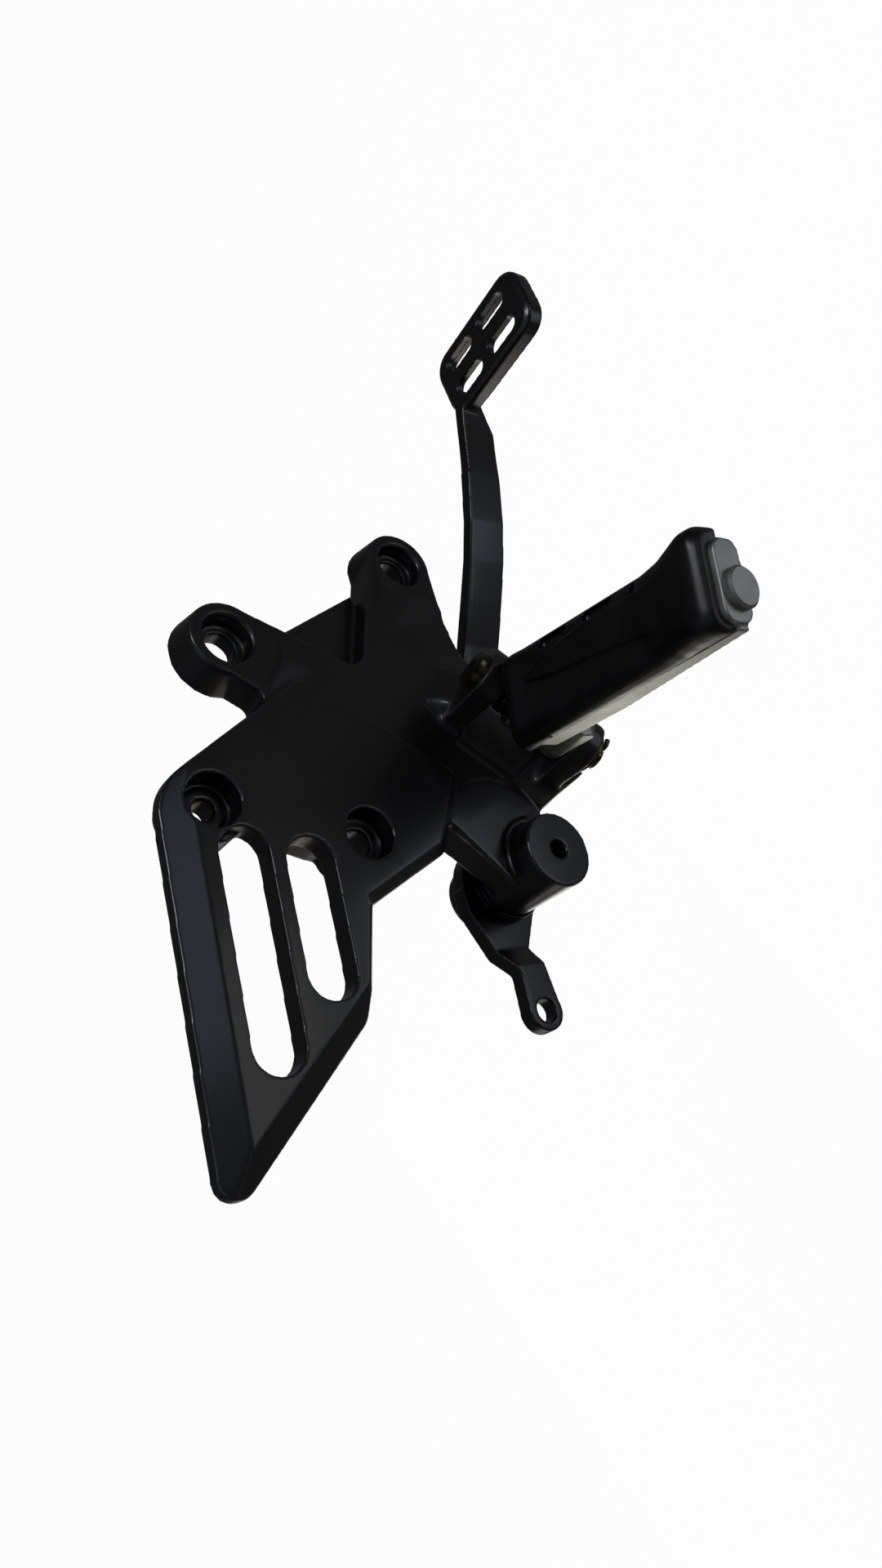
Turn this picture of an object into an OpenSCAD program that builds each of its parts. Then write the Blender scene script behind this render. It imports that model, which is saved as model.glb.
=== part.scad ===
// Right-hand rider's footpeg assembly of a sports motorcycle.
// Axes: X forward, Y inward to the frame, Z up. The origin lies on the brake
// pedal's pivot axis, in the plane that bolts against the frame.

/* [Step holder] */
// thickness of the casting's arms, frame face to outer face
arm_t = 13; // [11:0.5:15]
// skin left over each pocket in the frame side
skin_t = 5; // [4:0.5:7]
// rear frame boss, forward of the pivot
rear_boss_x = 77.5; // [75:0.5:80]
// rear frame boss, above the pivot
rear_boss_z = 97.5; // [95:0.5:100]
// front frame boss, forward of the pivot
front_boss_x = 114.5; // [112:0.5:117]
// front frame boss, above the pivot
front_boss_z = 21.5; // [20:0.5:23]
// diameter of a frame boss
frame_boss_d = 25; // [24:0.5:27]
// clearance hole for an M10 frame bolt
frame_hole_d = 10.5; // [10.2:0.1:11]
// seat for the frame bolt's head
frame_seat_d = 16.5; // [16:0.5:18]
// depth of that seat
frame_seat_depth = 6.5; // [5:0.5:8]

/* [Heel guard] */
// guard's face, outside the frame plane
guard_out = 17; // [16:0.5:18]
// depth of the guard's edge
guard_t = 8; // [7:0.5:9]
// width of the soft bevel along the top and back edges
guard_bevel_w = 9; // [6:0.5:10]
// fall of the bevels
guard_bevel_h = 3.5; // [2:0.5:4.5]
// spacing of the two master cylinder holes
cylinder_pitch = 50; // [49:0.5:51]
// clearance hole for a master cylinder bolt
cylinder_hole_d = 9; // [8:0.5:10]
// seat for that bolt's head
cylinder_seat_d = 16.5; // [15:0.5:17]
// depth of that seat
cylinder_seat_depth = 8; // [6:0.5:9]
// length of the upper slot
slot_upper_l = 69; // [60:1:71]
// length of the lower slot
slot_lower_l = 48; // [42:1:50]
// width of both slots
slot_w = 15.5; // [12:0.5:16]

/* [Brake pedal] */
// diameter of the boss that carries the pivot
pivot_boss_d = 26; // [25:0.5:27]
// outer end of that boss, outside the frame plane
pivot_boss_out = 23.5; // [21:0.5:26]
// diameter of the pivot pin's journal
pivot_d = 14; // [13:0.5:15]
// thickness of the pedal's flat arms
pedal_t = 6; // [5.5:0.5:7]
// height of the long arm
pedal_arm_h = 15; // [14:0.5:17]
// middle of the foot pad, forward of the pivot
pad_x = 190; // [188:0.5:193]
// middle of the foot pad, outside the frame plane
pad_out = 53.5; // [52:0.5:55]
// top of the foot pad, below the pivot
pad_drop = 12; // [10:0.5:14]
// fore and aft width of the pad
pad_w = 28; // [26:0.5:30]
// sideways length of the pad
pad_l = 51; // [49:0.5:53]
// depth of the pad's rim
pad_h = 7; // [6:0.5:9]
// pivot to the push rod's eye
eye_reach = 46; // [44:0.5:49]
// hole for the push rod's clevis pin
eye_hole_d = 8; // [6:0.5:8.5]

/* [Footpeg] */
// slope of the folding pin below the horizontal
pin_slope = 53; // [50:1:56]
// folding pin, forward of the pivot
pin_x = 47; // [46:0.5:48]
// folding pin, outside the frame plane
pin_out = 30; // [29:0.5:31]
// folding pin, below the pivot
pin_drop = 1.5; // [1:0.5:2.5]
// diameter of the folding pin
pin_d = 8; // [7:0.5:9]
// room between the clevis lugs
clevis_gap = 31; // [30:0.5:33]
// thickness of a clevis lug
lug_t = 8.3; // [7.5:0.1:9]
// radius of a lug's round end
lug_r = 10; // [9.5:0.5:10.5]
// width of the peg's tongue
tongue_w = 22; // [20:0.5:22.5]
// swing of the resting peg up and back from square
peg_sweep = 11.5; // [8:0.5:14]
// angle by which the peg's body droops from the fold's plane
peg_droop = 5.5; // [0:0.5:8]
// length of the rubber, collar included
rubber_l = 86; // [82:1:92]
// fore and aft width of the peg
peg_w = 31; // [28:0.5:32]
// width of the peg at its outer end
peg_tip_w = 28; // [26:0.5:31]
// depth of the metal at the peg's root, under the rubber
peg_depth = 12; // [9:0.5:13]
// depth of the metal at the peg's outer end
peg_tip_depth = 4; // [2:0.5:6]
// height of the rubber's side walls
skirt = 7; // [6:0.5:9]

/* [Resolution] */
// segments on a full circle
$fn = 48; // [36:4:64]

/* [Hidden] */

cast_black = "#1c1d1f";
steel = "#9a9ca0";
rubber_black = "#161616";
zinc_yellow = "#b7a45a";

gap = 0.3;
run = 0.04;
rear_boss = [rear_boss_x, rear_boss_z];
front_boss = [front_boss_x, front_boss_z];
cylinder_low = [10.5, 67.5];
cylinder_high = cylinder_low + cylinder_pitch * [cos(76.7), sin(76.7)];
standoff_d = 23;
pivot_boss_in = 8.5;
pad_turn = 6;
hub_d = 32;
sleeve_d = 25;
hub_l = 12;
hub_y = pivot_boss_in + gap;
bush_t = 2;
seal_t = 2.5;
seal_d = pivot_d + 2 * bush_t + 2;
hub_end = hub_y + hub_l;
pin_dir = [-cos(pin_slope), 0, -sin(pin_slope)];
peg_root = 11;
tread_z = 20;
seat_z = tread_z - skirt;
mid_x = -0.8;
peg_lead = 1.2;
peg_rake = -3.5;
collar_l = 8;
lip = 3;
end_screw_d = 6;
end_screw_l = 14;
bolt_x = -2.5;
spine_w = peg_w - 10;
lug_base = pin_out - arm_t + skin_t - 1;
end_plate_t = 2;

function unit(v) = v / norm(v);
function heading(v) = atan2(v[1], v[0]);
function flat(p) = [p[0], p[1]];

// Arc that rounds the corner b between a and c; each point is [x, z, radius].
function corner(a, b, c) =
    let (u = unit(flat(a) - flat(b)), v = unit(flat(c) - flat(b)), half = acos(u * v) / 2)
    let (mid = flat(b) + unit(u + v) * b[2] / sin(half))
    let (from = heading(flat(b) + u * b[2] / tan(half) - mid))
    let (to = heading(flat(b) + v * b[2] / tan(half) - mid))
    let (turn = (to - from + 540) % 360 - 180)
    b[2] == 0 ? [flat(b)] : [for (i = [0:6]) mid + b[2] * [cos(from + turn * i / 6), sin(from + turn * i / 6)]];
function rounded(pts) =
    let (n = len(pts))
    [for (i = [0:n - 1]) each corner(pts[(i + n - 1) % n], pts[i], pts[(i + 1) % n])];

// Band of width w along a list of points, as one closed outline.
function side(pts, i) =
    let (n = len(pts), a = pts[max(i - 1, 0)], b = pts[i], c = pts[min(i + 1, n - 1)])
    let (u = i == 0 ? unit(c - b) : unit(b - a), v = i == n - 1 ? u : unit(c - b), m = unit(u + v))
    [-m[1], m[0]] / (m * u);
function band(pts, w) =
    let (n = len(pts))
    concat([for (i = [0:n - 1]) pts[i] + side(pts, i) * w / 2],
        [for (i = [n - 1:-1:0]) pts[i] - side(pts, i) * w / 2]);

// The shapes are drawn about the pedal's pivot; the part's origin is its front frame hole.
module mounted() translate([-front_boss_x, 0, -front_boss_z]) children();

// Extrudes an outline drawn in the side view from y0 to y1.
module slab(y0, y1) translate([0, y1, 0]) rotate([90, 0, 0]) linear_extrude(y1 - y0) children();
module rod(p, d, y0, y1) translate([p[0], y1, p[1]]) rotate([90, 0, 0]) cylinder(d = d, h = y1 - y0);
module ring(d_in, d_out, y0, y1) {
    difference() {
        rod([0, 0], d_out, y0, y1);
        rod([0, 0], d_in, y0 - 1, y1 + 1);
    }
}

// Places children in the folding pin's frame: local z runs up to the front lug.
module pin_frame() translate([pin_x, -pin_out, -pin_drop]) rotate([0, 90 - pin_slope, 0]) children();
// Swings children, drawn square to the frame, to the resting peg.
module peg_pose() {
    translate([pin_x, -pin_out, -pin_drop]) rotate(a = peg_sweep, v = pin_dir) children();
}

guard = [[29.5, 26, 2.5], [63.5, 77.5, 7], [27, 131.5, 16], [-88.5, 136, 5.5], [-44.2, 82.3, 6],
    [-11.8, 72.5, 2], [4, 39.5, 4]];
body = [[88.5, 92, 0], [69.5, 50.5, 6], [118.5, 33.5, 0], [112, 9.3, 0], [88.5, 9, 6], [75, -5, 0],
    [43, -30, 5], [22, -15, 5], [9, -9, 0], [-9, 8.5, 0], [16, 35, 0], [3, 58, 0], [9, 82, 0],
    [17.5, 104, 4], [13, 125, 5], [30, 125, 5], [57.5, 88, 3], [70, 107, 0]];

module slot_outline(a, b) {
    hull() {
        translate(a) circle(d = slot_w);
        translate(b) circle(d = slot_w);
    }
}
module slots() {
    slot_outline([6, 110.4], [6 - (slot_upper_l - slot_w), 112.9]);
    slot_outline([2.3, 90.2], [2.3 - (slot_lower_l - slot_w), 91.9]);
}
// Bevels one straight edge of the guard; reach lengthens the cut past each end.
module guard_bevel(i, w, h, reach) {
    a = flat(guard[i]);
    b = flat(guard[(i + 1) % len(guard)]);
    translate([a[0], -guard_out, a[1]]) rotate([0, -heading(b - a), 0]) translate([-reach[0], 0, 0])
        rotate([90, 0, 90]) linear_extrude(norm(b - a) + reach[0] + reach[1])
            polygon([[-h, 2 * w], [2 * h, -w], [-h, -w]]);
}
module guard_plate() {
    difference() {
        slab(-guard_out, guard_t - guard_out) difference() {
            polygon(rounded(guard));
            slots();
        }
        guard_bevel(2, guard_bevel_w, guard_bevel_h, [30, 30]);
        guard_bevel(3, 7, guard_bevel_h, [30, 10]);
        guard_bevel(4, 1.5, 1.5, [10, 0]);
        guard_bevel(5, 3.5, 2.8, [0, 10]);
        guard_bevel(6, 3.5, 2.8, [10, 3]);
    }
}
module frame_boss_solid(p) translate([p[0], 0, p[1]]) rotate([90, 0, 0])
    cylinder(d1 = frame_boss_d + 4, d2 = frame_boss_d, h = arm_t);
module frame_boss_bore(p) {
    rod(p, frame_hole_d, -arm_t - 1, 1);
    rod(p, frame_seat_d, -arm_t - 1, frame_seat_depth - arm_t);
    translate([p[0], -arm_t, p[1]]) rotate([90, 0, 0])
        rotate_extrude() polygon([[0, -1], [frame_seat_d / 2, -1], [frame_seat_d / 2 + 1.8, 1], [0, 1]]);
}
module clevis_lug(z0) {
    translate([0, 0, z0]) linear_extrude(lug_t)
        polygon([for (a = [180:15:360]) lug_r * [cos(a), sin(a)], [lug_r + 3, lug_base],
            [-lug_r - 3, lug_base]]);
}
module step_holder() color(cast_black) difference() {
    union() {
        difference() {
            slab(-arm_t, 0) polygon(rounded(body));
            slab(skin_t - arm_t, 1) difference() {
                offset(delta = -4.5) polygon(rounded(body));
                for (p = [cylinder_low, cylinder_high]) translate(p) circle(d = standoff_d - 1);
                circle(d = pivot_boss_d + 6);
                translate([40, 16]) rotate(35) square([90, 4], center = true);
                translate([34, 70]) rotate(100) square([90, 4], center = true);
            }
        }
        slab(-5, -1) polygon([[60, 62], [87, 71], [104, 41], [78, 36]]);
        guard_plate();
        for (p = [rear_boss, front_boss]) frame_boss_solid(p);
        for (p = [cylinder_low, cylinder_high]) rod(p, standoff_d, -guard_out + 4, 0);
        rod([0, 0], pivot_boss_d, -pivot_boss_out, pivot_boss_in);
        pin_frame() {
            clevis_lug(clevis_gap / 2);
            clevis_lug(-clevis_gap / 2 - lug_t);
            translate([-lug_r - 3, 12.5, -clevis_gap / 2 - 1]) cube([2 * lug_r + 6, lug_base - 12.5, clevis_gap + 2]);
        }
    }
    for (p = [rear_boss, front_boss]) frame_boss_bore(p);
    for (p = [cylinder_low, cylinder_high]) {
        rod(p, cylinder_hole_d, -guard_out - 1, 1);
        rod(p, cylinder_seat_d, -guard_out - 1, cylinder_seat_depth - guard_out);
    }
    rod([0, 0], pivot_d - 2, -6, pivot_boss_in + 1);
    rod([0, 0], 6.6, -pivot_boss_out - 1, -pivot_boss_out + 9);
    pin_frame() cylinder(d = pin_d + 2 * run, h = 4 * clevis_gap, center = true);
}

module pedal_pivot() color(steel) {
    rod([0, 0], pivot_d - 2, -6, pivot_boss_in + 0.5);
    difference() {
        rod([0, 0], pivot_d, pivot_boss_in, hub_end + 5);
        ring(pivot_d - 2, pivot_d + 2, hub_end + 2.6, hub_end + 3.8);
    }
}

arm_top = [[0, 12], [60, 12], [80, 10.5], [94, 3.5], [108, -5.5], [121, -13.5], [134, -20], [152, -26],
    [170, -31], [182, -35]];
arm_mid = [[0, 0], [45, -10], [88, -21], [107, -20.5], [134, -19.5], [168, -19.5]];
module pedal_arm() {
    intersection() {
        linear_extrude(200, center = true) polygon(band(arm_top, pedal_t - 1));
        slab(-80, 40) polygon(concat([for (p = arm_mid) p + [0, pedal_arm_h / 2]],
            [[184, -pad_drop], [184, -pad_drop - pad_h + 1]],
            [for (i = [len(arm_mid) - 1:-1:0]) arm_mid[i] - [0, pedal_arm_h / 2]]));
    }
}
module pedal_tail() {
    bend = [[0, hub_y + pedal_t / 2], [-24, hub_y + pedal_t / 2], [-31, hub_y + pedal_t / 2 - 5],
        [-70, hub_y + pedal_t / 2 - 5]];
    intersection() {
        linear_extrude(80, center = true) polygon(band(bend, pedal_t));
        slab(-10, 30) union() {
            polygon([[2, 17], [-8, 17], [-22, 11], [-33, 6.5], [-eye_reach, 7.5], [-eye_reach, -6.2],
                [-33, -5], [-24, -4.2], [-10, -12], [2, -16]]);
            translate([-eye_reach, 0.6]) circle(d = 14);
        }
    }
}
module pad_frame() translate([pad_x, -pad_out, -pad_drop]) rotate(pad_turn) children();
module pad_outline(grow) {
    polygon(rounded([for (s = [[-1, -1], [1, -1], [1, 1], [-1, 1]])
        [s[0] * (pad_w / 2 + grow), s[1] * (pad_l / 2 + grow), 8 + grow]]));
}
module pad_slot(x, y) translate([x, y]) hull() for (s = [-1, 1]) translate([0, s * 4.75]) circle(d = 6.5);
module pedal_pad() pad_frame() difference() {
    union() {
        translate([0, 0, -pad_h]) linear_extrude(pad_h - 1.5) pad_outline(0);
        translate([0, 0, -2]) linear_extrude(1.4) pad_outline(-0.6);
        translate([0, 0, -1]) linear_extrude(1) pad_outline(-1.8);
    }
    translate([0, 0, -pad_h - 1]) linear_extrude(pad_h - 2.5) pad_outline(-3);
    translate([0, 0, -pad_h - 1]) linear_extrude(pad_h + 2)
        for (x = [-6.2, 6.2], y = [-9.5, 11]) pad_slot(x, y);
}
module brake_pedal() color(cast_black) difference() {
    union() {
        rod([0, 0], hub_d, hub_y, hub_y + pedal_t);
        rod([0, 0], sleeve_d, hub_y, hub_end);
        pedal_arm();
        pedal_tail();
        pedal_pad();
    }
    rod([0, 0], pivot_d + 2 * bush_t, hub_y - 1, hub_end + 1);
    rod([0, 0], seal_d, hub_y - 1, hub_y + seal_t);
    rod([0, 0], seal_d, hub_end - seal_t, hub_end + 1);
    rod([-eye_reach, 0.6], eye_hole_d, -10, 30);
}
module pedal_bush() color("#a8844a") ring(pivot_d + 2 * run, pivot_d + 2 * bush_t, hub_y + seal_t, hub_end - seal_t);
module outer_dust_seal() color(rubber_black) ring(pivot_d + 2 * run, seal_d, hub_y + 0.2, hub_y + seal_t);
module inner_dust_seal() color(rubber_black) ring(pivot_d + 2 * run, seal_d, hub_end - seal_t, hub_end - 0.2);
module wave_washer() color(steel) translate([0, hub_end + 0.1, 0]) rotate([-90, 0, 0]) rotate_extrude()
    polygon([[pivot_d / 2 + 0.3, 0.7], [pivot_d / 2 + 4.5, 0.1], [pivot_d / 2 + 4.5, 0.8], [pivot_d / 2 + 0.3, 1.4]]);
module thrust_washer() color(steel) ring(pivot_d + 0.2, pivot_d + 9, hub_end + 1.55, hub_end + 2.55);
module pivot_circlip() color(steel) difference() {
    ring(pivot_d - 1.9, pivot_d + 5, hub_end + 2.65, hub_end + 3.75);
    translate([-2, hub_end, -pivot_d]) cube([4, 6, pivot_d]);
}

// Round wire of diameter d swept through a list of points.
function bisect(path, i) = unit(path[min(i + 1, len(path) - 1)] - path[max(i - 1, 0)]);
// Solid through m closed rings of n points each, listed one ring after another.
module skin(rings, m, n) {
    polyhedron(rings, concat([[for (k = [0:n - 1]) k]], [[for (k = [n - 1:-1:0]) (m - 1) * n + k]],
        [for (i = [0:m - 2], k = [0:n - 1])
            [i * n + k, (i + 1) * n + k, (i + 1) * n + (k + 1) % n, i * n + (k + 1) % n]]));
}
module wire(path, d, n = 8) {
    rings = [for (i = [0:len(path) - 1])
        let (t = bisect(path, i), s = abs(t[1]) > 0.9 ? [1, 0, 0] : [0, 1, 0], u = unit(cross(t, s)), v = cross(t, u))
        for (k = [0:n - 1]) path[i] + d / 2 * (cos(360 * k / n) * u + sin(360 * k / n) * v)];
    skin(rings, len(path), n);
}
module pedal_spring() color(steel) {
    r = pivot_boss_d / 2 + 1.8;
    wire(concat([[-1.5, -4, 19], [-2, 0.2, 19], [-5, 1.3, 16]],
        [for (a = [135:15:990]) [r * cos(a), 1.6 + 5.6 * (a - 135) / 855, r * sin(a)]],
        [[16, 7.2, -15.8], [31, 7.4, -17.6], [34, 9, -18.2], [35, 14, -18.2]]), 2);
}

// Turns children, drawn along the fold's plane, to the drooping body.
module body_pose() peg_pose() rotate([peg_droop, 0, peg_lead]) children();
// Extrudes an outline drawn in the side view from from_l to to_l along the peg.
module along(from_l, to_l) translate([0, -from_l, 0]) rotate([90, 0, 0]) linear_extrude(to_l - from_l) children();
front_x = mid_x + peg_w / 2;
function width_at(l) = peg_w + (peg_tip_w - peg_w) * (l - peg_root) / rubber_l;
// Ring of points round the rubber at l, raked as its ends are, with its front and top grown by grow.
function rubber_ring(l, grow) =
    let (back = front_x - width_at(l), top = tread_z + grow, front = front_x + grow)
    [for (p = rounded([[back, seat_z, 0.5], [back, top, 6], [front, top, 6], [front, seat_z, 0.5]]))
        [p[0] * cos(peg_rake), p[0] * sin(peg_rake) - l, p[1]]];
bar_l = peg_root + rubber_l;
// Raised middle of the bar, which the rubber straddles.
spine_h = 2;
inset = 0.4;
module bar_outline() {
    w = peg_w / 2 - inset;
    low = seat_z - peg_depth;
    translate([mid_x, 0]) polygon(rounded([[-w, seat_z, 0], [-w, low + 3, 2], [-w + 5, low, 3],
        [w - 5, low, 3], [w, low + 3, 2], [w, seat_z, 0], [spine_w / 2, seat_z, 0],
        [spine_w / 2, seat_z + spine_h, 1], [-spine_w / 2, seat_z + spine_h, 1], [-spine_w / 2, seat_z, 0]]));
}
module screw_hole(l) translate([mid_x, -l, 0]) {
    cylinder(d = 5.2, h = tread_z - 2);
    cylinder(d = 11, h = seat_z - 2);
}
screw_at = [peg_root + 20, peg_root + 60];
// The bar's underside rises and its rear side draws in towards the outer end.
rear_draw = atan((peg_w - peg_tip_w) / rubber_l);
module bar_tapers() {
    translate([-2 * peg_w, 0, 0]) rotate([90, 0, 90]) linear_extrude(4 * peg_w) polygon([[-8, -24],
        [-peg_root - 13, seat_z - peg_depth], [-bar_l - 1, seat_z - peg_tip_depth], [-bar_l - 1, -60], [-8, -60]]);
    translate([front_x - peg_w + inset, -peg_root, -peg_w]) rotate([0, 0, rear_draw])
        translate([-10, -rubber_l - 20, 0]) cube([10, rubber_l + 30, 2 * peg_w]);
}
module tongue() {
    r = lug_r - 0.8;
    rotate([0, 90 - pin_slope, 0]) translate([0, 0, gap - clevis_gap / 2]) {
        cylinder(r = r, h = tongue_w);
        linear_extrude(tongue_w) polygon([[-r, 0], [-r, -8], [-11, -peg_root - 10], [11, -peg_root - 10], [r, -8], [r, 0]]);
    }
}
// Frame of the raked outer end; children are drawn with local z pointing outwards.
end_x = front_x - peg_tip_w / 2;
module end_frame() translate([end_x, -bar_l, seat_z - 1.5]) rotate([90, 0, peg_rake]) children();
module end_plate(z, t) end_frame() translate([0, 0, z]) linear_extrude(t) {
    w = peg_tip_w / 2 - 2;
    polygon(rounded([[-w, -4.5, 4], [-w, skirt, 4], [w, skirt, 4], [w, -3, 4]]));
}
plate_in = 3;
module footpeg_bar() color(steel) difference() {
    union() {
        difference() {
            union() {
                peg_pose() tongue();
                body_pose() along(peg_root + 1, bar_l) bar_outline();
            }
            body_pose() bar_tapers();
        }
        body_pose() end_plate(-plate_in, end_plate_t + plate_in);
    }
    peg_pose() rotate([0, 90 - pin_slope, 0]) cylinder(d = pin_d + 2 * run, h = 4 * clevis_gap, center = true);
    body_pose() {
        for (l = screw_at) screw_hole(l);
        end_frame() translate([bolt_x, 0, -end_screw_l]) cylinder(d = end_screw_d, h = end_screw_l + 10);
    }
}
// Grooves behind the tread's front edge, which leave a row of cleats in front of them.
groove_l = 12.5;
groove_pitch = 20;
groove_depth = 3;
module groove_cut(l) translate([front_x - 5.2, -l - groove_l, tread_z - groove_depth])
    cube([3, groove_l, groove_depth + lip]);
// Raised leaf of the tread, which widens into the collar.
leaf_h = 0.8;
leaf = [[2, 9, 0.5], [7, 21.5, 14], [9.2, 38, 30], [9.2, 66, 12], [13, 76, 0], [-11.5, 76, 0], [-5, 69, 9],
    [-2.3, 47, 30], [-0.3, 22, 30]];
module tread_leaf() translate([0, -peg_root, tread_z - 1]) linear_extrude(1 + leaf_h)
    mirror([0, 1]) polygon(rounded(leaf));
plate_at = [screw_at[0] - 8, screw_at[1] + 8];
insert_z = seat_z + spine_h;
insert_t = 2.5;
module insert_plate() along(plate_at[0], plate_at[1]) translate([mid_x - 8, insert_z]) square([16, insert_t]);
module rubber_insert() color(steel) body_pose() difference() {
    insert_plate();
    for (l = screw_at) translate([mid_x, -l, insert_z - 1]) cylinder(d = 5, h = 9);
}
module footpeg_rubber() color(rubber_black) body_pose() difference() {
    union() {
        rings = [rubber_ring(bar_l, lip - 1.4), rubber_ring(bar_l - collar_l / 2, lip),
            rubber_ring(bar_l - collar_l - 2, 0), rubber_ring(peg_root, 0)];
        skin([for (ring = rings) each ring], len(rings), len(rings[0]));
        tread_leaf();
    }
    along(peg_root - 4, bar_l + 4) translate([mid_x - spine_w / 2, seat_z - 1]) square([spine_w, spine_h + 1]);
    end_plate(-plate_in, 10);
    insert_plate();
    for (i = [0:2]) groove_cut(peg_root + 18 + groove_pitch * i);
    for (l = screw_at) translate([mid_x, -l, seat_z]) cylinder(d = 5.2, h = screw_l - 9);
}
module footpeg_end_bolt() color(steel) body_pose() end_frame() translate([bolt_x, 0, end_plate_t]) {
    rotate_extrude() polygon([[0, 0], [6.2, 0], [6.2, 1.6], [5.4, 2.4], [0, 2.4]]);
    translate([0, 0, -end_screw_l]) cylinder(d = end_screw_d, h = end_screw_l);
}
screw_l = 14.5;
module rubber_screw(l) color(steel) body_pose() translate([mid_x, -l, seat_z - 4]) difference() {
    union() {
        cylinder(d = 10, h = 2);
        cylinder(d = 5, h = insert_t + spine_h + 4);
    }
    translate([0, 0, -1]) cylinder(d = 4.6, h = 2.4, $fn = 6);
}
module rubber_screw_inner() rubber_screw(screw_at[0]);
module rubber_screw_outer() rubber_screw(screw_at[1]);

pin_reach = clevis_gap / 2 + lug_t;
module footpeg_pin() color(steel) pin_frame() difference() {
    union() {
        translate([0, 0, -pin_reach - 4.6]) cylinder(d = pin_d, h = 2 * pin_reach + 4.6);
        translate([0, 0, pin_reach]) cylinder(d = pin_d + 5, h = 2.5);
    }
    translate([0, 0, -pin_reach - 2.9]) rotate([90, 0, 0]) cylinder(d = 2, h = 20, center = true);
}
module footpeg_pin_washer() color(zinc_yellow) pin_frame() translate([0, 0, -pin_reach - 1.6]) difference() {
    cylinder(d = pin_d + 7, h = 1.6);
    translate([0, 0, -1]) cylinder(d = pin_d + 0.3, h = 4);
}
module footpeg_cotter() color(zinc_yellow) pin_frame() translate([0, 0, -pin_reach - 2.9])
    wire([[2.4, 6.4, 0.4], [0.8, 6.8, 0], [0, 5.5, 0], [0, 0, 0], [0, -6, 0], [0.8, -7, 0], [3, -7.2, 0]], 1.8, 10);
module footpeg_spring() color(steel) pin_frame() {
    r = pin_d / 2 + 2.2;
    low = gap - clevis_gap / 2 + tongue_w + 1.3;
    wire(concat([[3, 12, low], [5.5, 6, low]], [for (a = [15:20:1095]) [r * cos(a), r * sin(a), low + 5 * (a - 15) / 1080]],
        [[5.5, -5, low + 5], [4, -9, low + 5]]), 1.8);
}

mounted() step_holder();
mounted() pedal_pivot();
mounted() brake_pedal();
mounted() pedal_bush();
mounted() outer_dust_seal();
mounted() inner_dust_seal();
mounted() wave_washer();
mounted() thrust_washer();
mounted() pivot_circlip();
mounted() pedal_spring();
mounted() footpeg_bar();
mounted() footpeg_rubber();
mounted() footpeg_end_bolt();
mounted() footpeg_pin();
mounted() footpeg_pin_washer();
mounted() footpeg_cotter();
mounted() footpeg_spring();
mounted() rubber_insert();
mounted() rubber_screw_inner();
mounted() rubber_screw_outer();
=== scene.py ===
import math
import bmesh
import bpy
from mathutils import Matrix, Vector


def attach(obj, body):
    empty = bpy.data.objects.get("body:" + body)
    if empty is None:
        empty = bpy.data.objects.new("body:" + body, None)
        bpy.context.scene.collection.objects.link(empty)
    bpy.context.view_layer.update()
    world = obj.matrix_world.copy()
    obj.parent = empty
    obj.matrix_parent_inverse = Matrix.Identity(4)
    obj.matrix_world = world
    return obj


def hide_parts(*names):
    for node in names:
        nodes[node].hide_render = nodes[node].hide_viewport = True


# Right-hand rider's footpeg hanger with heel guard, folding peg and brake pedal.
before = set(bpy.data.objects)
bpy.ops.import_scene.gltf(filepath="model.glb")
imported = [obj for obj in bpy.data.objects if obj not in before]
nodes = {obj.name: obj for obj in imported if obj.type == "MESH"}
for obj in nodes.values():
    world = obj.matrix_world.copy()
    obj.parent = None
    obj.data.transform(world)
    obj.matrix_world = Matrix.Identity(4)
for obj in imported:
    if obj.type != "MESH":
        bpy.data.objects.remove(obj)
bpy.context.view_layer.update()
mm = 0.001
print("frame loaded")

scene = bpy.context.scene
scene.view_settings.view_transform = "Standard"


# camera: the fitted viewpoint, image up is close to the machine's forward direction
cameraSettings = {
    "place": (-0.2104, -0.2754, 0.2404),
    "right": (-0.265, -0.561, -0.784),
    "up": (0.904, -0.428, 0.0),
    "lens": 26.25,
    "sensor": 36.0,
    "near": 0.01,
    "far": 20,
}


def makeCamera(s):
    data = bpy.data.cameras.new("viewpoint")
    data.lens, data.sensor_width = s["lens"], s["sensor"]
    data.clip_start, data.clip_end = s["near"], s["far"]
    right = Vector(s["right"]).normalized()
    up = Vector(s["up"])
    up = (up - right * up.dot(right)).normalized()
    back = right.cross(up)
    turned = Matrix((right, up, back)).transposed().to_4x4()
    camera = bpy.data.objects.new("viewpoint", data)
    camera.matrix_world = Matrix.Translation(s["place"]) @ turned
    scene.collection.objects.link(camera)
    scene.camera = camera


makeCamera(cameraSettings)
print("camera set")


# colours and nodes
def toLinear(code):
    parts = [int(code[i:i + 2], 16) / 255 for i in (1, 3, 5)]
    return tuple(c / 12.92 if c <= 0.04045 else ((c + 0.055) / 1.055) ** 2.4 for c in parts) + (1.0,)


def addNode(tree, kind, settings=None, links=None):
    node = tree.nodes.new(kind)
    for key, value in (settings or {}).items():
        if isinstance(key, int) or key in node.inputs:
            node.inputs[key].default_value = value
        else:
            setattr(node, key, value)
    for key, source in (links or {}).items():
        tree.links.new(source, node.inputs[key])
    return node


def newMaterial(name):
    made = bpy.data.materials.new(name)
    made.use_nodes = True
    made.node_tree.nodes.clear()
    return made, made.node_tree


def closeMaterial(tree, shader):
    addNode(tree, "ShaderNodeOutputMaterial", {}, {"Surface": shader.outputs[0]})


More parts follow.
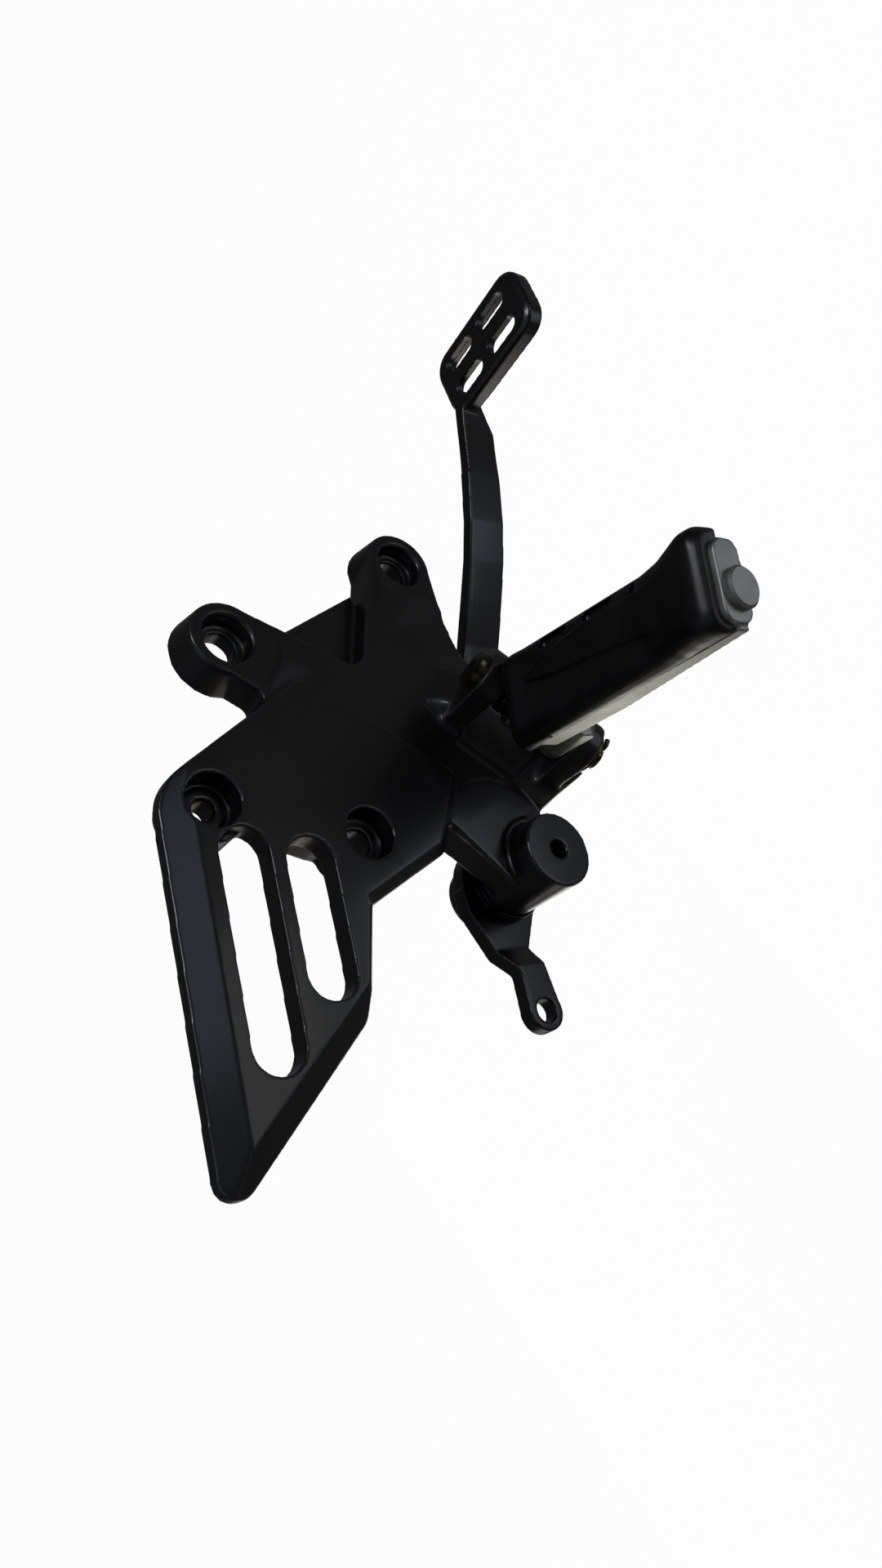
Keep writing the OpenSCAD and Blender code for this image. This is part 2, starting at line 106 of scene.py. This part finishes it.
# Satin black powder coat, sprayed and baked over a casting or forging: a soft sheen with fine orange peel,
# painted a little paler along the edges as a highlight, smoother there, and flecked with pale dust round the
# clevis
coatBase = {
    "shadeFade": {"From Min": 0.35, "From Max": 0.7},
    "sheenFade": {"From Min": 0.3, "From Max": 0.75},
    "speckMm": 1.5, "speckFade": {"From Min": 0.13, "From Max": 0.06},
    "patchMm": 6, "patchFade": {"From Min": 0.5, "From Max": 0.6},
    "dustAt": (-0.0675, -0.014, -0.021),  # the clevis, in metres, as are the two reaches
    "dustReach": {"From Min": 0.075, "From Max": 0.012},
    "grimeReach": {"From Min": 0.034, "From Max": 0.012},
    # the edge tone and its share are a painted highlight along the convex edges
    "dustTone": "#6f7064", "edgeHighlightTone": "#5b5e63", "edgeHighlightShare": 0.16,
    "peelDepthMm": 0.05, "gloss": {"IOR": 1.5, "Coat Weight": 0.3, "Coat Roughness": 0.14},
}


def satinBlackCoat(name, s):
    made, tree = newMaterial(name)
    place = addNode(tree, "ShaderNodeTexCoord").outputs["Object"]
    peel = addNode(tree, "ShaderNodeTexNoise",
                   {"Scale": 1 / (s["peelMm"] * mm), "Detail": 3.0, "Roughness": 0.55}, {"Vector": place})
    cloud = addNode(tree, "ShaderNodeTexNoise",
                    {"Scale": 1 / (s["cloudMm"] * mm), "Detail": 2.0}, {"Vector": place})
    shade = addNode(tree, "ShaderNodeMapRange", s["shadeFade"], {"Value": cloud.outputs["Fac"]})
    tone = addNode(tree, "ShaderNodeMix",
                   {"data_type": "RGBA", 6: toLinear(s["dark"]), 7: toLinear(s["light"])},
                   {0: shade.outputs[0]})
    shape = addNode(tree, "ShaderNodeNewGeometry")
    edge = addNode(tree, "ShaderNodeMapRange", s["edgeFade"], {"Value": shape.outputs["Pointiness"]})
    # painted highlight: the colour is mixed toward a paler tone along convex edges
    paintedEdgeLight = addNode(tree, "ShaderNodeMath", {"operation": "MULTIPLY", 1: s["edgeHighlightShare"]},
                     {0: edge.outputs[0]})
    tone = addNode(tree, "ShaderNodeMix", {"data_type": "RGBA", 7: toLinear(s["edgeHighlightTone"])},
                   {0: paintedEdgeLight.outputs[0], 6: tone.outputs[2]})
    speck = addNode(tree, "ShaderNodeTexVoronoi", {"Scale": 1 / (s["speckMm"] * mm)}, {"Vector": place})
    grain = addNode(tree, "ShaderNodeMapRange", s["speckFade"], {"Value": speck.outputs["Distance"]})
    away = addNode(tree, "ShaderNodeVectorMath", {"operation": "DISTANCE", 1: s["dustAt"]}, {0: place})
    near = addNode(tree, "ShaderNodeMapRange", {**s["dustReach"], "To Max": s["dust"]},
                   {"Value": away.outputs["Value"]})
    pick = addNode(tree, "ShaderNodeTexNoise",
                   {"Scale": 1 / (s["patchMm"] * mm), "Detail": 1.0}, {"Vector": place})
    some = addNode(tree, "ShaderNodeMapRange", s["patchFade"], {"Value": pick.outputs["Fac"]})
    patch = addNode(tree, "ShaderNodeMath", {"operation": "MULTIPLY"},
                    {0: near.outputs[0], 1: some.outputs[0]})
    dust = addNode(tree, "ShaderNodeMath", {"operation": "MULTIPLY"},
                   {0: grain.outputs[0], 1: patch.outputs[0]})
    tone = addNode(tree, "ShaderNodeMix", {"data_type": "RGBA", 7: toLinear(s["dustTone"])},
                   {0: dust.outputs[0], 6: tone.outputs[2]})
    sheen = addNode(tree, "ShaderNodeMapRange",
                    {**s["sheenFade"], "To Min": s["roughLow"], "To Max": s["roughHigh"]},
                    {"Value": cloud.outputs["Fac"]})
    oily = addNode(tree, "ShaderNodeMapRange", {**s["grimeReach"], "To Max": s["grime"]},
                   {"Value": away.outputs["Value"]})
    matt = addNode(tree, "ShaderNodeMath", {"operation": "ADD"}, {0: sheen.outputs[0], 1: oily.outputs[0]})
    rough = addNode(tree, "ShaderNodeMath", {"operation": "MULTIPLY_ADD", 1: -s["edgePolish"]},
                    {0: edge.outputs[0], 2: matt.outputs[0]})
    bump = addNode(tree, "ShaderNodeBump", {"Strength": s["peel"], "Distance": s["peelDepthMm"] * mm},
                   {"Height": peel.outputs["Fac"]})
    shader = addNode(tree, "ShaderNodeBsdfPrincipled", {"Specular IOR Level": s["sheen"], **s["gloss"]},
                     {"Base Color": tone.outputs[2], "Roughness": rough.outputs[0],
                      "Normal": bump.outputs[0]})
    closeMaterial(tree, shader)
    return made


# Moulded rubber and bare metals: a cloudy tone and roughness over a fine grain. What differs is set by
# each dictionary: the colours, the scales, how deep the grain goes, and whether it is a metal.
def grainedSurface(name, s):
    made, tree = newMaterial(name)
    place = addNode(tree, "ShaderNodeTexCoord").outputs["Object"]
    grain = addNode(tree, "ShaderNodeTexNoise",
                    {"Scale": 1 / (s["grainMm"] * mm), "Detail": 4.0}, {"Vector": place})
    cloud = addNode(tree, "ShaderNodeTexNoise",
                    {"Scale": 1 / (s["cloudMm"] * mm), "Detail": 3.0}, {"Vector": place})
    shade = addNode(tree, "ShaderNodeMapRange", s["shadeFade"], {"Value": cloud.outputs["Fac"]})
    tone = addNode(tree, "ShaderNodeMix",
                   {"data_type": "RGBA", 6: toLinear(s["dark"]), 7: toLinear(s["light"])},
                   {0: shade.outputs[0]})
    rough = addNode(tree, "ShaderNodeMapRange",
                    {**s["sheenFade"], "To Min": s["roughLow"], "To Max": s["roughHigh"]},
                    {"Value": cloud.outputs["Fac"]})
    bump = addNode(tree, "ShaderNodeBump", {"Strength": s["bump"], "Distance": s["grainDepthMm"] * mm},
                   {"Height": grain.outputs["Fac"]})
    shader = addNode(tree, "ShaderNodeBsdfPrincipled", s["surface"],
                     {"Base Color": tone.outputs[2], "Roughness": rough.outputs[0],
                      "Normal": bump.outputs[0]})
    closeMaterial(tree, shader)
    return made


rubberBase = {
    "shadeFade": {"From Min": 0.4, "From Max": 0.7}, "sheenFade": {"From Min": 0.35, "From Max": 0.7},
    "grainDepthMm": 0.04, "surface": {"Specular IOR Level": 0.5},
}
metalBase = {
    "shadeFade": {"From Min": 0.35, "From Max": 0.65}, "sheenFade": {"From Min": 0.3, "From Max": 0.7},
    "grainDepthMm": 0.05, "surface": {"Metallic": 1.0},
}
finishes = {
    "castBlack": satinBlackCoat("satin_black_coat_on_casting", {
        **coatBase, "dark": "#060607", "light": "#0a0a0b", "peelMm": 0.9, "peel": 0.2, "cloudMm": 26,
        "roughLow": 0.33, "roughHigh": 0.42, "sheen": 0.5, "dust": 0.8, "grime": 0.3,
        "edgeFade": {"From Min": 0.505, "From Max": 0.535}, "edgePolish": 0.12}),
    "leverBlack": satinBlackCoat("satin_black_coat_on_forging", {
        **coatBase, "dark": "#060608", "light": "#0a0a0d", "peelMm": 0.7, "peel": 0.15, "cloudMm": 18,
        "roughLow": 0.28, "roughHigh": 0.36, "sheen": 0.55, "dust": 0.4, "grime": 0.1,
        "edgeFade": {"From Min": 0.53, "From Max": 0.57}, "edgePolish": 0.1}),
    # natural rubber pressed in a polished mould: near black, with a damp gloss on its pressed faces
    "rubber": grainedSurface("moulded_black_rubber", {
        **rubberBase, "dark": "#060606", "light": "#0a0a0a", "grainMm": 0.6, "cloudMm": 14,
        "roughLow": 0.3, "roughHigh": 0.45, "bump": 0.2}),
    # aluminium blasted with fine beads: an even pale grey without sharp highlights
    "blasted": grainedSurface("blasted_grey_aluminium", {
        **metalBase, "dark": "#92938f", "light": "#acada6", "grainMm": 0.35, "cloudMm": 8,
        "roughLow": 0.42, "roughHigh": 0.55, "bump": 0.35}),
    # steel plated with clear zinc in a barrel: bright, with small knocks and a faint cloud
    "plated": grainedSurface("clear_zinc_plated_steel", {
        **metalBase, "dark": "#8d8f92", "light": "#b2b4b6", "grainMm": 0.3, "cloudMm": 5,
        "roughLow": 0.28, "roughHigh": 0.4, "bump": 0.15}),
    # steel plated with yellow zinc and dulled by use: brown, with gold left in patches
    "yellowZinc": grainedSurface("yellow_zinc_plated_steel", {
        **metalBase, "dark": "#43392a", "light": "#7d705a", "grainMm": 0.3, "cloudMm": 2.5,
        "roughLow": 0.25, "roughHigh": 0.4, "bump": 0.15}),
    # hard drawn wire blackened in oil: dark, with a thin line of shine along each turn
    "springSteel": grainedSurface("black_spring_steel", {
        **metalBase, "dark": "#26272a", "light": "#3a3b3d", "grainMm": 0.3, "cloudMm": 4,
        "roughLow": 0.3, "roughHigh": 0.42, "bump": 0.1}),
    # sintered bronze soaked in oil: a warm brown, slightly open grain
    "bronze": grainedSurface("oil_bronze", {
        **metalBase, "dark": "#7d5a2f", "light": "#a37a45", "grainMm": 0.3, "cloudMm": 4,
        "roughLow": 0.3, "roughHigh": 0.45, "bump": 0.2}),
}
print("materials made")


# carried-over pieces keep their CAD mesh and get a finish
carried = {
    "pedal_pivot": "plated", "pedal_bush": "bronze", "outer_dust_seal": "rubber", "inner_dust_seal": "rubber",
    "wave_washer": "plated", "thrust_washer": "plated", "pivot_circlip": "springSteel",
    "footpeg_end_bolt": "blasted", "footpeg_pin": "yellowZinc", "footpeg_pin_washer": "yellowZinc",
    "footpeg_cotter": "yellowZinc", "footpeg_spring": "springSteel", "rubber_insert": "plated",
    "rubber_screw_inner": "plated", "rubber_screw_outer": "plated",
}


def paint(piece, finish):
    piece.data.materials.clear()
    piece.data.materials.append(finishes[finish])


for nodeName, finish in carried.items():
    paint(nodes[nodeName], finish)
print("carried pieces painted")


# castings, forging and mouldings: the CAD form with the soft edges and fillets of its mould
# Shapes below are in millimetres about the brake pedal's pivot; the model's origin is the front frame hole.
pivotPlace = Vector((-114.5, 0, -21.5))
frontHole, rearHole = (114.5, 21.5), (77.5, 97.5)
pinMiddle = (47, -30, -1.5)
pinSlope = math.radians(53)
weldReach = 0.001 * mm  # the solids come as loose triangles
smoothShare = 0.5  # how far one smoothing pass moves a point
blendCore = 1.6  # a blend is full near its middle and fades out at its radius


def ready(form):
    bmesh.ops.scale(form, vec=(mm, mm, mm), verts=form.verts)
    bmesh.ops.translate(form, vec=pivotPlace * mm, verts=form.verts)
    bmesh.ops.recalc_face_normals(form, faces=form.faces)
    return form


# outline in the side view (x, z), from yFrom to yTo; a tilt of (x, z, rise, run) slopes the outer face away
def slab(outline, yFrom, yTo, tilt=None):
    form = bmesh.new()
    base = form.faces.new([form.verts.new((x, yFrom, z)) for x, z in outline])
    raised = bmesh.ops.extrude_face_region(form, geom=[base])["geom"]
    tops = [part for part in raised if isinstance(part, bmesh.types.BMVert)]
    bmesh.ops.translate(form, vec=(0, yTo - yFrom, 0), verts=tops)
    if tilt:
        for point in tops:
            away = math.hypot(point.co.x - tilt[0], point.co.z - tilt[1])
            point.co.y += tilt[2] * away / tilt[3]
    return ready(form)


def blockOf(points):
    form = bmesh.new()
    for point in points:
        form.verts.new(point)
    shell = bmesh.ops.convex_hull(form, input=form.verts)
    bmesh.ops.delete(form, geom=list(set(shell["geom_interior"] + shell["geom_unused"])), context="VERTS")
    return ready(form)


# tube about an axis along y through (x, z)
def tube(centre, inner, outer, yFrom, yTo, segments=64):
    form = bmesh.new()
    for radius in (inner, outer):
        bmesh.ops.create_circle(form, segments=segments, radius=radius)
    bmesh.ops.bridge_loops(form, edges=form.edges)
    raised = bmesh.ops.extrude_face_region(form, geom=form.faces[:])["geom"]
    tops = [part for part in raised if isinstance(part, bmesh.types.BMVert)]
    bmesh.ops.translate(form, vec=(0, 0, yTo - yFrom), verts=tops)
    bmesh.ops.rotate(form, matrix=Matrix.Rotation(math.radians(-90), 3, "X"), verts=form.verts)
    bmesh.ops.translate(form, vec=(centre[0], yFrom, centre[1]), verts=form.verts)
    return ready(form)


def meshOf(form, name):
    mesh = bpy.data.meshes.new(name)
    form.to_mesh(mesh)
    form.free()
    return mesh


def evaluatedMesh(piece):
    return bpy.data.meshes.new_from_object(piece.evaluated_get(bpy.context.evaluated_depsgraph_get()))


def bake(piece):
    made = evaluatedMesh(piece)
    piece.modifiers.clear()
    piece.data = made


# cuts are taken from the CAD form, adds are laid into it, and a fine skin over both is smoothed
def softenedForm(name, nodeName, body, finish, s, adds=(), cuts=()):
    form = bmesh.new()
    form.from_mesh(nodes[nodeName].data)
    bmesh.ops.remove_doubles(form, verts=form.verts, dist=weldReach)
    piece = bpy.data.objects.new(name, meshOf(form, name))
    scene.collection.objects.link(piece)
    cutters = [bpy.data.objects.new("cutter", meshOf(cut, "cutter")) for cut in cuts]
    for cutter in cutters:
        scene.collection.objects.link(cutter)
        carve = piece.modifiers.new("carve", "BOOLEAN")
        carve.object, carve.operation, carve.solver = cutter, "DIFFERENCE", "EXACT"
    bake(piece)
    for cutter in cutters:
        bpy.data.objects.remove(cutter)
    form = bmesh.new()
    form.from_mesh(piece.data)
    for add in adds:
        form.from_mesh(meshOf(add, "added"))
    form.to_mesh(piece.data)
    form.free()
    remesh = piece.modifiers.new("skin", "REMESH")
    remesh.mode, remesh.voxel_size, remesh.use_smooth_shade = "VOXEL", s["voxelMm"] * mm, True
    smooth = piece.modifiers.new("radii", "SMOOTH")
    smooth.iterations, smooth.factor = s["passes"], smoothShare
    bake(piece)
    for spot in s.get("blends", ()):
        meltAt(piece, spot)
    thin = piece.modifiers.new("thin", "DECIMATE")
    thin.ratio = s["keep"]
    bake(piece)
    piece.data.name = name
    piece.data.polygons.foreach_set("use_smooth", [True] * len(piece.data.polygons))
    paint(piece, finish)
    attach(piece, body)
    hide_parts(nodeName)
    print(name, len(piece.data.polygons), "faces")


# a large cast fillet: more smoothing, within a radius of one place
def meltAt(piece, spot):
    centre = (Vector(spot["at"]) + pivotPlace) * mm
    group = piece.vertex_groups.new(name="blend")
    for point in piece.data.vertices:
        share = blendCore - blendCore * (point.co - centre).length / (spot["radius"] * mm)
        if share > 0:
            group.add([point.index], min(share, 1.0), "REPLACE")
    melt = piece.modifiers.new("melt", "SMOOTH")
    melt.iterations, melt.factor, melt.vertex_group = spot["passes"], smoothShare, "blend"
    bake(piece)
    piece.vertex_groups.clear()


def circlePart(centre, radius, start, stop, steps):
    turns = [math.radians(start + (stop - start) * i / steps) for i in range(steps + 1)]
    return [(centre[0] + radius * math.cos(a), centre[1] + radius * math.sin(a)) for a in turns]


# point in the folding pin's own frame: across the lugs, y as it is, and along the pin toward the front lug
def pinPoint(across, y, along):
    return (pinMiddle[0] + across * math.sin(pinSlope) + along * math.cos(pinSlope), y,
            pinMiddle[2] - across * math.cos(pinSlope) + along * math.sin(pinSlope))


def pinBlock(acrosses, ys, alongs):
    return blockOf([pinPoint(across, y, along) for across in acrosses for y in ys for along in alongs])


# the casting, along y: face is its outer face, and a cut runs from cutFrom to cutTo, past both sides
hangerShape = {
    "voxelMm": 0.5, "passes": 12, "keep": 0.36,
    "blends": [{"at": (46, -13, 2), "radius": 27, "passes": 60},
               {"at": (63, -15, 21), "radius": 17, "passes": 160},
               {"at": (31, -14, -16), "radius": 15, "passes": 120}],
    "face": -12, "cutFrom": -15, "cutTo": 1,
    "bossStep": 15.8, "armFace": -14.3,
    "frontStep": 13.6, "frontFace": -14.4, "frontTilt": (104.5, 21.5, 2.0, 34),
    "rearStep": 17.6, "rearFace": -13.9, "rearTilt": (70, 82, 1.6, 24),
    "neckAt": (22.0, 116.2), "neckBore": 3.4, "neckOuter": 6.5, "neckFrom": -9.6,
}


def makeHanger(s):
    # the arm from the heel guard down to the pivot boss stands proud, ended by a curved step at the clevis
    proudArm = slab([(12, 40), (22, 35.5), (26.5, 28), (29.4, 20), (30, 12), (27.8, 4.5), (23.5, -1.5),
                     (19, -5), *circlePart((0, 0), s["bossStep"], 0, 130, 12), (14, 33)],
                    s["face"], s["armFace"])
    # the frame arms stand proud up to a recessed ring round each boss
    frontFace = slab([*circlePart(frontHole, s["frontStep"], 122, 222, 10), (96, 9.2), (70, 20), (72, 46)],
                     s["face"], s["frontFace"], s["frontTilt"])
    rearFace = slab([*circlePart(rearHole, s["rearStep"], 290, 220, 8), (58, 88.5), (48, 78), (68, 60)],
                    s["face"], s["rearFace"], s["rearTilt"])
    # cast webs at the roots of the two lugs
    lugWeb = blockOf([(27.5, -23, -24), (40, -23, -26), (29, -5, -26), (40, -5, -24), (18.6, -14, -8),
                      (18.6, -2, -9), (30, -13.2, 0), (32, -2, 0), (33, -22, -18), (42, -22, -20)])
    frontWeb = blockOf([pinPoint(*point) for point in [
        (-9, -22, 22), (9, -22, 22), (-11, -12, 22), (11, -12, 22), (-8, -12.8, 33), (8, -12.8, 31)]])
    # the upper master cylinder hole narrows toward the frame
    neck = tube(s["neckAt"], s["neckBore"], s["neckOuter"], s["neckFrom"], 0)
    # the lower edge is trimmed beside the front arm and beside the lower lug, and the clevis is cleared
    edgeCut = slab([(91, 8.6), (85.8, 8.2), (79.9, 6.6), (74.5, 3.4), (69.8, -0.8), (58, -15), (70, -30),
                    (100, -10)], s["cutFrom"], s["cutTo"])
    bellyCut = slab([(30, -31), (25.1, -21.8), (20.5, -12.7), (18.1, -7.9), (13.4, -7.5), (8, -12),
                     (10, -32)], s["cutFrom"], s["cutTo"])
    clevisCut = pinBlock((-16, 16), (-32, -12.0), (-15.4, 15.4))
    floorCut = pinBlock((-10, 12), (-20, -10.2), (-15, 15))
    softenedForm("hanger_casting", "step_holder", "holder", "castBlack", s,
                 [proudArm, frontFace, rearFace, lugWeb, frontWeb, neck],
                 [edgeCut, clevisCut, bellyCut, floorCut])


# the long arm's upper edge stands a little higher between the frame arm and the pad: each place on the
# arm is (x, y, z, extra height)
leverShape = {
    "voxelMm": 0.4, "passes": 7, "keep": 0.4,
    "blends": [{"at": (166, -30, -24), "radius": 18, "passes": 60}],
    "armWidth": 4.9, "stripFrom": 3.0, "stripTo": 7.5,
    "armLine": [(58, 12, -12.9, 1.0), (80, 10.5, -18.9, 2.0), (94, 3.5, -20.9, 2.2), (108, -5.5, -20.5, 2.0),
                (121, -13.5, -20.1, 1.5), (134, -20, -19.5, 1.0), (152, -26, -19.5, 0.3)],
}


def makeLever(s):
    strips = []
    for start, end in zip(s["armLine"], s["armLine"][1:]):
        across = Vector((start[1] - end[1], end[0] - start[0], 0)).normalized() * s["armWidth"] / 2
        strips.append(blockOf([Vector((x, y, z + height)) + across * turn for x, y, z, up in (start, end)
                               for turn in (-1, 1) for height in (s["stripFrom"], s["stripTo"] + up)]))
    softenedForm("brake_lever", "brake_pedal", "pedal", "leverBlack", s, strips)


pegBarShape = {"voxelMm": 0.4, "passes": 5, "keep": 0.5}

# the peg's body: out from its folding pin, swept back and drooping a little, in degrees
pegAngles = {"sweep": 11.5, "yaw": 1.2, "droop": 5.5}
pinLine = Vector((-math.cos(pinSlope), 0, -math.sin(pinSlope)))
pegPose = (Matrix.Translation(pinMiddle) @ Matrix.Rotation(math.radians(pegAngles["sweep"]), 4, pinLine)
           @ Matrix.Rotation(math.radians(pegAngles["yaw"]), 4, "Z")
           @ Matrix.Rotation(math.radians(pegAngles["droop"]), 4, "X"))

# collar and flare hold (distance from the pin, growth of the section)
rubberShape = {
    "voxelMm": 0.35, "passes": 9, "keep": 0.45,
    "blends": [{"at": pegPose @ Vector((0, -92, 16)), "radius": 27, "passes": 110}],
    "front": 14.7, "width": 31, "seat": 13, "tread": 20, "rake": -3.5, "crown": 6, "crownSteps": 5,
    "root": 11, "length": 86, "taper": 3,
    "collar": [(7.8, -3.0), (8.5, -1.2), (10, -0.1), (13, 0.25), (21.5, -0.1)],
    "flare": [(70, -0.1), (79, 0.8), (85, 2.2), (89.5, 3.3), (94, 3.2), (97, 1.0)],
}


# one cross-section of the rubber: flat sides, rounded at the tread
def sectionPoints(s, width, along, grow):
    back, front, top = s["front"] - width, s["front"] + grow, s["tread"] + grow
    rake, crown, steps = math.radians(s["rake"]), s["crown"], s["crownSteps"]
    corners = [(back, s["seat"]), *circlePart((back + crown, top - crown), crown, 180, 90, steps),
               *circlePart((front - crown, top - crown), crown, 90, 0, steps), (front, s["seat"])]
    return [pegPose @ Vector((x * math.cos(rake), x * math.sin(rake) - along, z)) for x, z in corners]


def rubberBlock(s, width, rings):
    return blockOf([point for along, grow in rings for point in sectionPoints(s, width, along, grow)])


def makeRubber(s):
    adds = [rubberBlock(s, s["width"], s["collar"])]
    for pair in zip(s["flare"], s["flare"][1:]):
        width = s["width"] - s["taper"] * (pair[1][0] - s["root"]) / s["length"]
        adds.append(rubberBlock(s, width, pair))
    softenedForm("peg_rubber", "footpeg_rubber", "peg", "rubber", s, adds)


makeHanger(hangerShape)
makeLever(leverShape)
softenedForm("peg_bar", "footpeg_bar", "peg", "blasted", pegBarShape)
makeRubber(rubberShape)
print("softened forms made")


# the pedal's return spring, wound close round the pivot boss
springShape = {"radius": 13.55, "wire": 1.0, "turns": 2.2, "from": 3.4, "to": 7.4, "stepsPerTurn": 28}


def makeSpring(s):
    line = bpy.data.curves.new("return_spring", "CURVE")
    line.dimensions, line.bevel_depth, line.bevel_resolution = "3D", s["wire"] / 2 * mm, 3
    line.use_fill_caps = True
    steps = int(s["turns"] * s["stepsPerTurn"])
    path = line.splines.new("POLY")
    path.points.add(steps)
    for i, point in enumerate(path.points):
        turn = 2 * math.pi * s["turns"] * i / steps
        place = Vector((s["radius"] * math.cos(turn), s["from"] + (s["to"] - s["from"]) * i / steps,
                        s["radius"] * math.sin(turn)))
        point.co = (*((place + pivotPlace) * mm), 1)
    wound = bpy.data.objects.new("winding", line)
    scene.collection.objects.link(wound)
    mesh = evaluatedMesh(wound)
    bpy.data.objects.remove(wound)
    piece = bpy.data.objects.new("return_spring", mesh)
    scene.collection.objects.link(piece)
    mesh.polygons.foreach_set("use_smooth", [True] * len(mesh.polygons))
    paint(piece, "springSteel")
    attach(piece, "holder")
    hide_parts("pedal_spring")


makeSpring(springShape)
print("spring wound")


# plain pale floor that glows to the camera, and faintly in the part's gloss
stageSettings = {"floorZ": -0.3, "floorSize": 12.0, "white": "#f4f4f4", "shadowShare": 0.03, "mirrored": 0.09}


def makeStage(s):
    form = bmesh.new()
    bmesh.ops.create_grid(form, x_segments=1, y_segments=1, size=s["floorSize"] / 2)
    bmesh.ops.translate(form, verts=form.verts, vec=(0, 0, s["floorZ"]))
    floor = bpy.data.objects.new("pale_floor", meshOf(form, "pale_floor"))
    scene.collection.objects.link(floor)
    made, tree = newMaterial("matt_white_floor")
    path = addNode(tree, "ShaderNodeLightPath")
    seen = addNode(tree, "ShaderNodeMath", {"operation": "MAXIMUM"},
                   {0: path.outputs["Is Camera Ray"], 1: path.outputs["Is Transmission Ray"]})
    strength = addNode(tree, "ShaderNodeMath", {"operation": "MULTIPLY_ADD", 1: s["mirrored"]},
                       {0: path.outputs["Is Glossy Ray"], 2: seen.outputs[0]})
    either = addNode(tree, "ShaderNodeMath", {"operation": "MAXIMUM"},
                     {0: seen.outputs[0], 1: path.outputs["Is Glossy Ray"]})
    share = addNode(tree, "ShaderNodeMath", {"operation": "MULTIPLY", 1: 1 - s["shadowShare"]},
                    {0: either.outputs[0]})
    lit = addNode(tree, "ShaderNodeBsdfDiffuse", {"Color": toLinear(s["white"])})
    glow = addNode(tree, "ShaderNodeEmission", {}, {"Strength": strength.outputs[0]})
    mixed = addNode(tree, "ShaderNodeMixShader", {},
                    {0: share.outputs[0], 1: lit.outputs[0], 2: glow.outputs[0]})
    closeMaterial(tree, mixed)
    floor.data.materials.append(made)


# the world is white to the camera and a weak fill for the part
worldSettings = {"fill": 0.05, "seenAs": 1.0}


def makeWorld(s):
    world = bpy.data.worlds.new("studio")
    scene.world = world
    world.use_nodes = True
    tree = world.node_tree
    tree.nodes.clear()
    path = addNode(tree, "ShaderNodeLightPath")
    seen = addNode(tree, "ShaderNodeMath", {"operation": "MAXIMUM"},
                   {0: path.outputs["Is Camera Ray"], 1: path.outputs["Is Transmission Ray"]})
    bright = addNode(tree, "ShaderNodeMapRange", {"To Min": s["fill"], "To Max": s["seenAs"]},
                     {"Value": seen.outputs[0]})
    sky = addNode(tree, "ShaderNodeBackground", {"Color": (1, 1, 1, 1)}, {"Strength": bright.outputs[0]})
    addNode(tree, "ShaderNodeOutputWorld", {}, {"Surface": sky.outputs[0]})


# soft lights and pale cards: place, size, watts and colour; each faces the part's middle
partMiddle = (-0.06, -0.04, 0.03)
lamps = {
    "overhead_window": {"place": (0.3, -0.45, 1.0), "size": (0.3, 0.2), "watts": 2.6, "tone": "#f2f5ff"},
    "ceiling": {"place": (-0.5, -0.1, 1.1), "size": (1.3, 1.0), "watts": 0.9, "tone": "#dfe8ff"},
    "card_for_bevels": {"place": (0.15, -0.88, 0.34), "size": (0.3, 0.26), "watts": 0.32, "tone": "#dbe6ff"},
    "card_for_guard": {"place": (-0.09, -0.62, -0.26), "size": (0.3, 0.25), "watts": 0.28, "tone": "#f4f4ee"},
    "card_for_lever": {"place": (-0.07, -0.34, -0.28), "size": (0.22, 0.16), "watts": 0.11, "tone": "#dbe6ff"},
    "card_for_peg": {"place": (-0.15, 0.15, -0.27), "size": (0.2, 0.16), "watts": 0.2, "tone": "#fdfaf0"},
    "card_behind": {"place": (-0.36, 0.42, -0.24), "size": (0.5, 0.4), "watts": 0.3, "tone": "#fdfaf0"},
}


def makeLamps(settings):
    for name, s in settings.items():
        data = bpy.data.lights.new(name, "AREA")
        data.shape, data.size, data.size_y = "RECTANGLE", *s["size"]
        data.energy, data.color = s["watts"], toLinear(s["tone"])[:3]
        lamp = bpy.data.objects.new(name, data)
        lamp.visible_camera = False
        lamp.location = s["place"]
        aim = Vector(partMiddle) - Vector(s["place"])
        lamp.rotation_euler = aim.to_track_quat("-Z", "Y").to_euler()
        scene.collection.objects.link(lamp)


makeStage(stageSettings)
makeWorld(worldSettings)
makeLamps(lamps)
print("stage lit")
